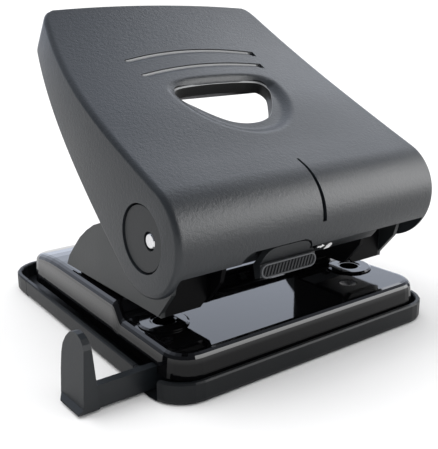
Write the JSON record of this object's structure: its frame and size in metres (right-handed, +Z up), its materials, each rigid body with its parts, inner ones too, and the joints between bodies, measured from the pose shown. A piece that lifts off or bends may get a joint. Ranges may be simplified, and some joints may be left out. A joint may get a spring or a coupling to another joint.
{
  "type": "two hole punch",
  "caption": "Desktop paper punch with a raised hinged handle, coil-sprung punch pins, a chip tray with an opening side flap, a sliding paper guide and a storage lock.",
  "frame": {"origin": "on the tray's underside, midway between the two punch pins", "axes": "+X to the right along the handle's axle, +Y to the rear along the base, +Z up"},
  "size_m": [0.1311, 0.121, 0.1043],
  "materials": {
    "gloss_black": "high gloss black enamel on pressed steel",
    "tower_paint": "dark grey enamel",
    "tray_plastic": "matt black moulded plastic",
    "guide_plastic": "satin black moulded plastic",
    "handle_plastic": "fine-grained charcoal moulded plastic",
    "lock_plastic": "satin black moulded plastic",
    "bright_steel": "ground bright steel",
    "dark_steel": "blackened steel"
  },
  "bodies": {
    "base": {"base_plate": "gloss_black", "chip_tray": "tray_plastic", "guide_keeper": "dark_steel", "flap_hinge_pin": "bright_steel", "left_tower": "tower_paint", "left_guide_block": "dark_steel", "left_die_bush": "gloss_black", "left_axle_bush": "bright_steel", "left_front_rivet": "bright_steel", "left_rear_rivet": "bright_steel", "left_front_screw": "bright_steel", "left_rear_screw": "bright_steel", "right_tower": "tower_paint", "right_guide_block": "dark_steel", "right_die_bush": "gloss_black", "right_axle_bush": "bright_steel", "right_front_rivet": "bright_steel", "right_rear_rivet": "bright_steel", "right_front_screw": "bright_steel", "right_rear_screw": "bright_steel", "left_pin_spring": "bright_steel", "right_pin_spring": "bright_steel"},
    "handle": {"handle_cover": "handle_plastic", "lever_frame": "dark_steel", "pivot_axle": "bright_steel", "latch_strip": "lock_plastic", "left_press_cam": "dark_steel", "left_cam_pin": "bright_steel", "left_axle_clip": "bright_steel", "left_pivot_cap": "handle_plastic", "left_handle_screw": "bright_steel", "right_press_cam": "dark_steel", "right_cam_pin": "bright_steel", "right_axle_clip": "bright_steel", "right_pivot_cap": "handle_plastic", "right_handle_screw": "bright_steel"},
    "left_pin": {"left_punch_pin": "bright_steel"},
    "right_pin": {"right_punch_pin": "bright_steel"},
    "guide": {"paper_guide": "guide_plastic", "guide_stop_screw": "bright_steel"},
    "flap": {"chip_flap": "tray_plastic"},
    "lock": {"lock_button": "lock_plastic", "lock_bolt": "bright_steel"}
  },
  "joints": [
    {"name": "handle_hinge", "type": "hinge", "parent": "base", "child": "handle", "pos_m": [0, -0.0112, 0.0442], "axis": [-1, 0, 0], "range_deg": [0, 36], "stiffness_Nm_per_rad": 0.6, "springref_deg": -28.65},
    {"name": "left_pin_slide", "type": "slide", "parent": "base", "child": "left_pin", "axis": [0, 0, -1], "range_m": [0, 0.00806], "deforming": ["left_pin_spring"]},
    {"name": "right_pin_slide", "type": "slide", "parent": "base", "child": "right_pin", "axis": [0, 0, -1], "range_m": [0, 0.00806], "deforming": ["right_pin_spring"]},
    {"name": "guide_slide", "type": "slide", "parent": "base", "child": "guide", "axis": [-1, 0, 0], "range_m": [-0.011, 0.055]},
    {"name": "flap_hinge", "type": "hinge", "parent": "base", "child": "flap", "pos_m": [-0.05321, 0, 0.0021], "axis": [-0.045, -0.999, 0], "range_deg": [0, 75]},
    {"name": "lock_slide", "type": "slide", "parent": "handle", "child": "lock", "axis": [-1, 0, 0], "range_m": [0, 0.008]}
  ],
  "couplings": [
    {"joint": "left_pin_slide", "follows": "handle_hinge", "m_per_rad": 0.01279},
    {"joint": "right_pin_slide", "follows": "handle_hinge", "m_per_rad": 0.01279}
  ]
}
